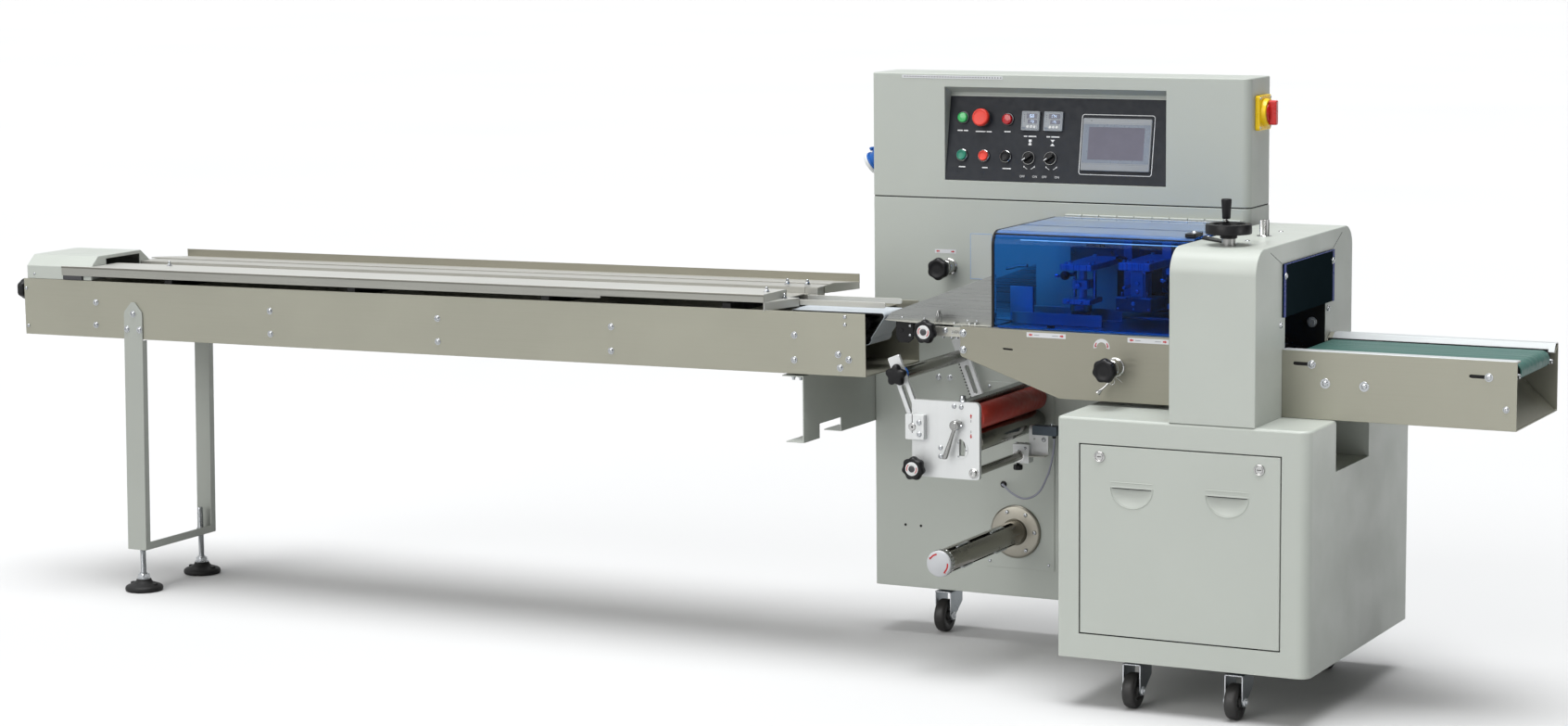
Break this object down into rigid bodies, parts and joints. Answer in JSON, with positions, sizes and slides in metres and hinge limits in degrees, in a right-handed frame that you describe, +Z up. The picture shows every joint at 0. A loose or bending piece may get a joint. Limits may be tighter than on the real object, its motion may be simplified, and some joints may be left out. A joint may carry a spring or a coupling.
{
  "type": "horizontal flow wrapping machine",
  "caption": "Horizontal flow wrapper: long infeed conveyor, film reel and nip rollers, blue hinged guard, end-seal housing on a base cabinet, tall control cabinet and a belt discharge.",
  "frame": {"origin": "middle of the machine's footprint on the floor", "axes": "+X is the way the product travels, from the infeed to the discharge, -Y is the operator side, +Z is up"},
  "size_m": [4.2678, 0.747, 1.45],
  "materials": {
    "grey_paint": "semi-gloss powder coat",
    "stainless": "brushed",
    "bright_steel": "polished",
    "aluminium": "fine satin",
    "black_plastic": "moulded",
    "black_panel": "matte film",
    "screen_plastic": "moulded",
    "blue_acrylic": "clear tinted sheet",
    "green_belt": "matte",
    "white_belt": "matte",
    "red_rubber": "ground",
    "red_plastic": "moulded",
    "green_plastic": "moulded",
    "grey_cable": "matte",
    "motor_grey": "painted",
    "zinc_steel": "zinc plated",
    "wheel_rubber": "matte"
  },
  "bodies": {
    "frame": {"rear_cabinet": "grey_paint", "rear_cover": "grey_paint", "control_box": "grey_paint", "control_panel": "black_panel", "touch_screen": "screen_plastic", "base_cabinet": "grey_paint", "main_motor": "motor_grey", "arch_housing": "grey_paint", "discharge_guard": "blue_acrylic", "bed_panel": "stainless", "film_former": "stainless", "fin_seal_unit": "bright_steel", "reel_flange": "bright_steel", "nip_plate": "aluminium", "sensor_bracket": "bright_steel", "sensor_cable": "grey_cable", "infeed_frame": "stainless", "infeed_table": "stainless", "infeed_guide_rear": "stainless", "infeed_hood": "grey_paint", "transfer_bed": "white_belt", "infeed_leg": "grey_paint", "support_bracket": "grey_paint", "discharge_frame": "stainless", "discharge_belt": "green_belt"},
    "guard_lid": {"guard_lid": "blue_acrylic"},
    "handwheel": {"handwheel": "black_plastic"},
    "handwheel_grip": {"handwheel_grip": "black_plastic"},
    "cabinet_door": {"cabinet_door": "grey_paint"},
    "reel_shaft": {"reel_shaft": "bright_steel"},
    "steel_roller": {"steel_roller": "bright_steel"},
    "rubber_roller": {"rubber_roller": "red_rubber"},
    "nip_lever": {"nip_lever": "bright_steel"},
    "guide_arm": {"guide_arm": "aluminium"},
    "guide_roller": {"guide_roller": "bright_steel"},
    "star_knob": {"star_knob": "black_plastic"},
    "knob_former": {"knob_former": "black_plastic"},
    "knob_nip": {"knob_nip": "black_plastic"},
    "knob_cabinet": {"knob_cabinet": "black_plastic"},
    "knob_front": {"knob_front": "black_plastic"},
    "tail_knob": {"tail_knob": "black_plastic"},
    "switch_knob": {"switch_knob": "red_plastic"},
    "start_button": {"start_button": "green_plastic"},
    "stop_button": {"stop_button": "red_plastic"},
    "inch_button": {"inch_button": "black_plastic"},
    "estop_button": {"estop_button": "red_plastic"},
    "selector_left": {"selector_left": "black_plastic"},
    "selector_right": {"selector_right": "black_plastic"},
    "caster_fork_left_rear": {"caster_fork_left_rear": "zinc_steel"},
    "caster_wheel_left_rear": {"caster_wheel_left_rear": "wheel_rubber"},
    "caster_fork_left_front": {"caster_fork_left_front": "zinc_steel"},
    "caster_wheel_left_front": {"caster_wheel_left_front": "wheel_rubber"},
    "caster_fork_right_front": {"caster_fork_right_front": "zinc_steel"},
    "caster_wheel_right_front": {"caster_wheel_right_front": "wheel_rubber"},
    "caster_fork_right_rear": {"caster_fork_right_rear": "zinc_steel"},
    "caster_wheel_right_rear": {"caster_wheel_right_rear": "wheel_rubber"},
    "foot_front": {"foot_front": "black_plastic"},
    "foot_rear": {"foot_rear": "black_plastic"},
    "upper_jaw": {"upper_jaw": "bright_steel"},
    "lower_jaw": {"lower_jaw": "bright_steel"}
  },
  "joints": [
    {"name": "guard_lid_hinge", "type": "hinge", "parent": "frame", "child": "guard_lid", "pos_m": [1.1054, 0.2005, 1.104], "axis": [-1, 0, 0], "range_deg": [0, 80]},
    {"name": "handwheel_turn", "type": "hinge", "parent": "frame", "child": "handwheel", "pos_m": [1.4769, -0.2695, 1.097], "axis": [0, 0, 1], "continuous": true},
    {"name": "handwheel_grip_turn", "type": "hinge", "parent": "handwheel", "child": "handwheel_grip", "pos_m": [1.4579, -0.2335, 1.1475], "axis": [0, 0, 1], "continuous": true},
    {"name": "cabinet_door_pull", "type": "slide", "parent": "frame", "child": "cabinet_door", "axis": [0, -1, 0], "range_m": [0, 0.25]},
    {"name": "reel_shaft_turn", "type": "hinge", "parent": "frame", "child": "reel_shaft", "pos_m": [0.7349, 0.2155, 0.29], "axis": [0, 1, 0], "continuous": true},
    {"name": "steel_roller_turn", "type": "hinge", "parent": "frame", "child": "steel_roller", "pos_m": [0.7929, 0.0065, 0.5825], "axis": [0, 1, 0], "continuous": true},
    {"name": "rubber_roller_turn", "type": "hinge", "parent": "frame", "child": "rubber_roller", "pos_m": [0.7929, 0.0065, 0.64], "axis": [0, 1, 0], "continuous": true},
    {"name": "nip_lever_turn", "type": "hinge", "parent": "frame", "child": "nip_lever", "pos_m": [0.7609, -0.1995, 0.626], "axis": [0, -1, 0], "range_deg": [0, 60]},
    {"name": "guide_arm_swing", "type": "hinge", "parent": "frame", "child": "guide_arm", "pos_m": [0.6459, 0.0065, 0.615], "axis": [0, 1, 0], "range_deg": [-10, 25]},
    {"name": "guide_roller_turn", "type": "hinge", "parent": "guide_arm", "child": "guide_roller", "pos_m": [0.5979, 0.0065, 0.738], "axis": [0, 1, 0], "continuous": true},
    {"name": "star_knob_turn", "type": "hinge", "parent": "guide_arm", "child": "star_knob", "pos_m": [0.5979, -0.1865, 0.738], "axis": [0, -1, 0], "continuous": true},
    {"name": "knob_former_turn", "type": "hinge", "parent": "frame", "child": "knob_former", "pos_m": [0.6859, -0.1915, 0.852], "axis": [0, -1, 0], "continuous": true},
    {"name": "knob_nip_turn", "type": "hinge", "parent": "frame", "child": "knob_nip", "pos_m": [0.6569, -0.1995, 0.516], "axis": [0, -1, 0], "continuous": true},
    {"name": "knob_cabinet_turn", "type": "hinge", "parent": "frame", "child": "knob_cabinet", "pos_m": [0.5509, 0.2155, 0.961], "axis": [0, -1, 0], "continuous": true},
    {"name": "knob_front_turn", "type": "hinge", "parent": "frame", "child": "knob_front", "pos_m": [1.1689, -0.1935, 0.788], "axis": [0, -1, 0], "continuous": true},
    {"name": "tail_knob_turn", "type": "hinge", "parent": "frame", "child": "tail_knob", "pos_m": [-2.1041, -0.1655, 0.838], "axis": [-1, 0, 0], "continuous": true},
    {"name": "switch_knob_turn", "type": "hinge", "parent": "frame", "child": "switch_knob", "pos_m": [1.3519, 0.2925, 1.364], "axis": [1, 0, 0], "range_deg": [0, 90]},
    {"name": "start_button_press", "type": "slide", "parent": "frame", "child": "start_button", "axis": [0, 0.9842, -0.1772], "range_m": [0, 0.004], "stiffness_N_per_m": 600},
    {"name": "stop_button_press", "type": "slide", "parent": "frame", "child": "stop_button", "axis": [0, 0.9842, -0.1772], "range_m": [0, 0.004], "stiffness_N_per_m": 600},
    {"name": "inch_button_press", "type": "slide", "parent": "frame", "child": "inch_button", "axis": [0, 0.9842, -0.1772], "range_m": [0, 0.004], "stiffness_N_per_m": 600},
    {"name": "estop_button_press", "type": "slide", "parent": "frame", "child": "estop_button", "axis": [0, 0.9842, -0.1772], "range_m": [0, 0.006], "stiffness_N_per_m": 900},
    {"name": "selector_left_turn", "type": "hinge", "parent": "frame", "child": "selector_left", "pos_m": [0.7649, 0.22631, 1.24103], "axis": [0, -0.9842, 0.1772], "range_deg": [0, 90]},
    {"name": "selector_right_turn", "type": "hinge", "parent": "frame", "child": "selector_right", "pos_m": [0.8239, 0.2264, 1.24153], "axis": [0, -0.9842, 0.1772], "range_deg": [0, 90]},
    {"name": "caster_swivel_left_rear", "type": "hinge", "parent": "frame", "child": "caster_fork_left_rear", "pos_m": [0.5079, 0.2985, 0.121], "axis": [0, 0, 1], "continuous": true},
    {"name": "caster_roll_left_rear", "type": "hinge", "parent": "caster_fork_left_rear", "child": "caster_wheel_left_rear", "pos_m": [0.5079, 0.2705, 0.0425], "axis": [1, 0, 0], "continuous": true},
    {"name": "caster_swivel_left_front", "type": "hinge", "parent": "frame", "child": "caster_fork_left_front", "pos_m": [1.2649, -0.2875, 0.121], "axis": [0, 0, 1], "continuous": true},
    {"name": "caster_roll_left_front", "type": "hinge", "parent": "caster_fork_left_front", "child": "caster_wheel_left_front", "pos_m": [1.2649, -0.3155, 0.0425], "axis": [1, 0, 0], "continuous": true},
    {"name": "caster_swivel_right_front", "type": "hinge", "parent": "frame", "child": "caster_fork_right_front", "pos_m": [1.5209, -0.2955, 0.121], "axis": [0, 0, 1], "continuous": true},
    {"name": "caster_roll_right_front", "type": "hinge", "parent": "caster_fork_right_front", "child": "caster_wheel_right_front", "pos_m": [1.5209, -0.3235, 0.0425], "axis": [1, 0, 0], "continuous": true},
    {"name": "caster_swivel_right_rear", "type": "hinge", "parent": "frame", "child": "caster_fork_right_rear", "pos_m": [1.5429, 0.2985, 0.121], "axis": [0, 0, 1], "continuous": true},
    {"name": "caster_roll_right_rear", "type": "hinge", "parent": "caster_fork_right_rear", "child": "caster_wheel_right_rear", "pos_m": [1.5429, 0.2705, 0.0425], "axis": [1, 0, 0], "continuous": true},
    {"name": "foot_front_screw", "type": "slide", "parent": "frame", "child": "foot_front", "axis": [0, 0, -1], "range_m": [0, 0.03]},
    {"name": "foot_rear_screw", "type": "slide", "parent": "frame", "child": "foot_rear", "axis": [0, 0, -1], "range_m": [0, 0.03]},
    {"name": "upper_jaw_turn", "type": "hinge", "parent": "frame", "child": "upper_jaw", "pos_m": [1.4769, -0.0285, 0.957], "axis": [0, 1, 0], "continuous": true},
    {"name": "lower_jaw_turn", "type": "hinge", "parent": "frame", "child": "lower_jaw", "pos_m": [1.4769, -0.0285, 0.815], "axis": [0, 1, 0], "continuous": true}
  ],
  "couplings": [
    {"joint": "rubber_roller_turn", "follows": "steel_roller_turn", "ratio": -0.88333},
    {"joint": "lower_jaw_turn", "follows": "upper_jaw_turn", "ratio": -1}
  ]
}
